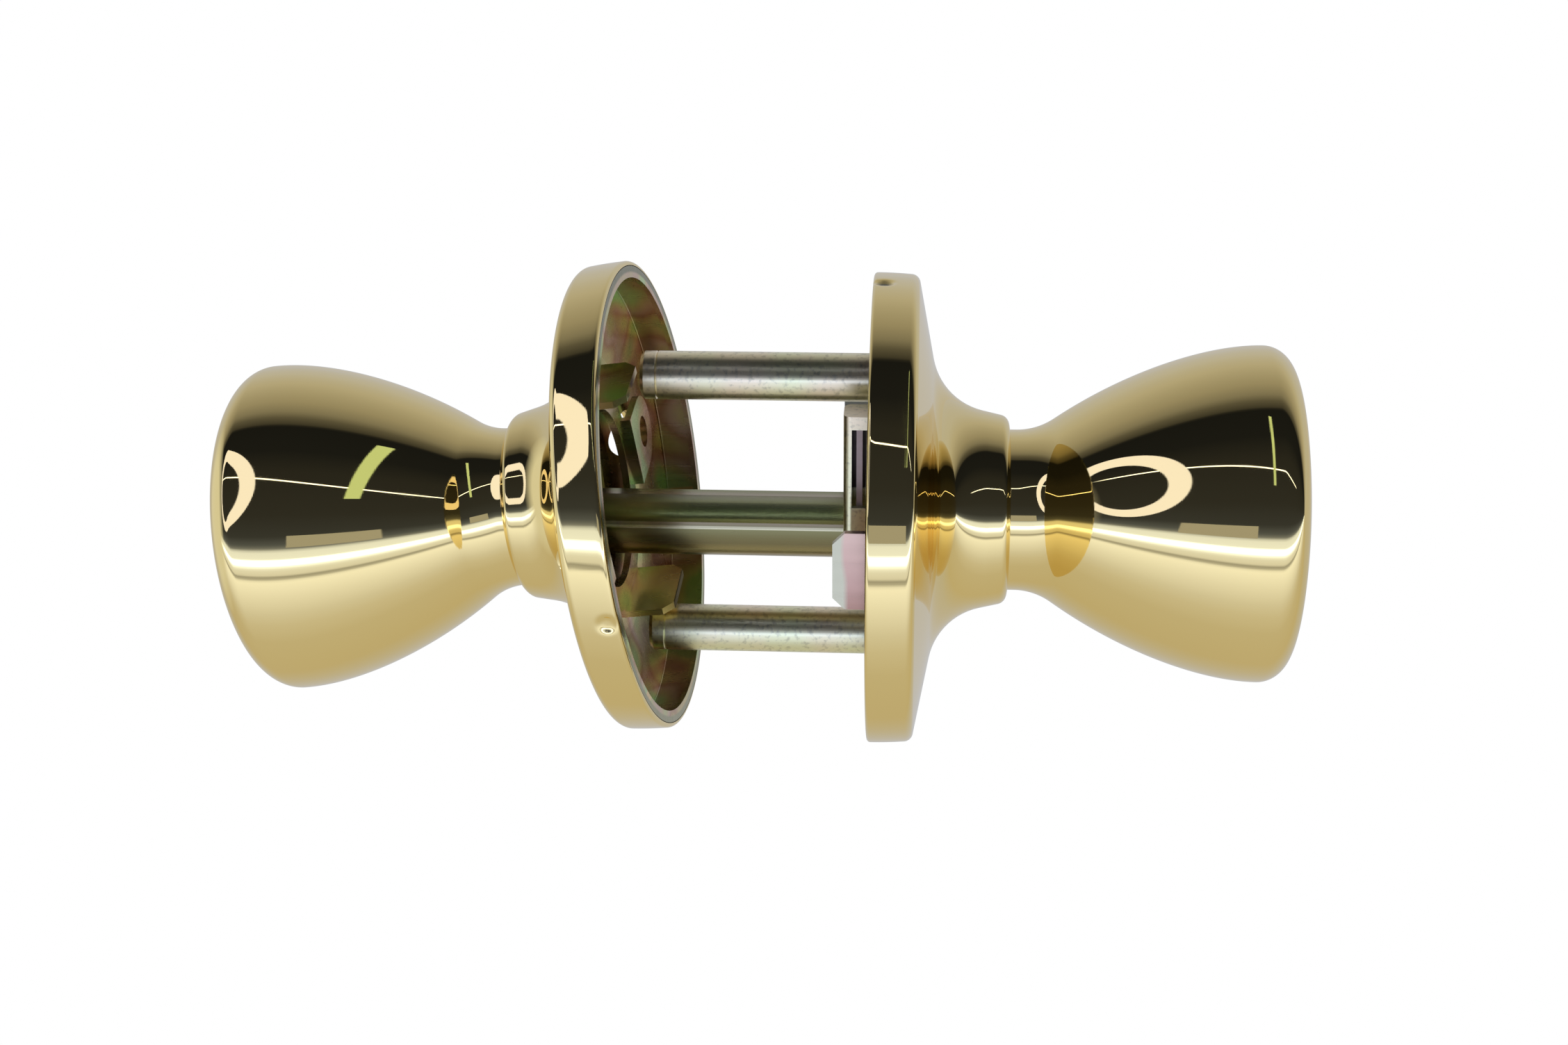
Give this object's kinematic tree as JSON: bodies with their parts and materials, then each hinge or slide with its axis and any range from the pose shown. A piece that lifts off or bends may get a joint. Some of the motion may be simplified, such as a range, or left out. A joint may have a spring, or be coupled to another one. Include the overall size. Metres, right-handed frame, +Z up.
{
  "type": "door knob set",
  "caption": "Tubular passage door knob set off the door: polished tulip knobs on round flared roses, joined by a half-round spindle and tapped posts, with the interior half hanging loose.",
  "frame": {"origin": "on the knob axis, in the plane of the exterior rose's rim, where it meets the door's face", "axes": "+X along the knob axis towards the exterior knob, +Z up, towards the upper post"},
  "size_m": [0.1481, 0.0654, 0.0664],
  "materials": {
    "polished_brass": "mirror polished, lacquered",
    "yellow_zinc_steel": "yellow iridescent zinc plating",
    "bright_zinc_steel": "bright zinc plating",
    "bearing_bronze": "sintered, dull",
    "spring_steel": "oiled"
  },
  "bodies": {
    "exterior_half": {"exterior_rose": "polished_brass", "exterior_liner": "yellow_zinc_steel", "exterior_cage": "yellow_zinc_steel", "exterior_bush": "bearing_bronze", "return_spring": "spring_steel", "spring_housing": "bright_zinc_steel", "housing_leaf": "spring_steel", "upper_post": "bright_zinc_steel", "lower_post": "bright_zinc_steel"},
    "exterior_knob": {"exterior_knob": "polished_brass", "exterior_knob_core": "bright_zinc_steel", "exterior_shank": "bright_zinc_steel", "exterior_retaining_ring": "spring_steel", "exterior_drive_plate": "yellow_zinc_steel", "spindle": "yellow_zinc_steel", "spindle_pin": "bright_zinc_steel", "cam_plate": "yellow_zinc_steel"},
    "interior_bearing": {"interior_bush": "bearing_bronze"},
    "interior_half": {"interior_rose": "polished_brass", "interior_liner": "yellow_zinc_steel", "interior_cage": "yellow_zinc_steel"},
    "interior_knob": {"interior_knob": "polished_brass", "interior_knob_core": "bright_zinc_steel", "interior_shank": "bright_zinc_steel", "interior_retaining_ring": "spring_steel", "interior_drive_plate": "yellow_zinc_steel"}
  },
  "joints": [
    {"name": "exterior_knob_turn", "type": "hinge", "parent": "exterior_half", "child": "exterior_knob", "pos_m": [0, 0, 0], "axis": [1, 0, 0], "range_deg": [-60, 60], "stiffness_Nm_per_rad": 0.25, "deforming": ["return_spring"]},
    {"name": "interior_half_seat", "type": "hinge", "parent": "exterior_half", "child": "interior_bearing", "pos_m": [-0.04469, -0.01211, 0.0335], "axis": [-0.0222, 0.9422, 0.3343], "range_deg": [0, 8.06]},
    {"name": "interior_rose_turn", "type": "hinge", "parent": "interior_bearing", "child": "interior_half", "pos_m": [-0.0301, -0.00047, 0.00165], "axis": [0.9901, -0.0471, 0.1321], "range_deg": [0, 82]},
    {"name": "interior_knob_turn", "type": "hinge", "parent": "interior_bearing", "child": "interior_knob", "pos_m": [-0.0301, -0.00047, 0.00165], "axis": [0.9901, -0.0471, 0.1321], "range_deg": [-60, 60]}
  ],
  "couplings": [
    {"joint": "interior_knob_turn", "follows": "exterior_knob_turn", "ratio": 1}
  ]
}
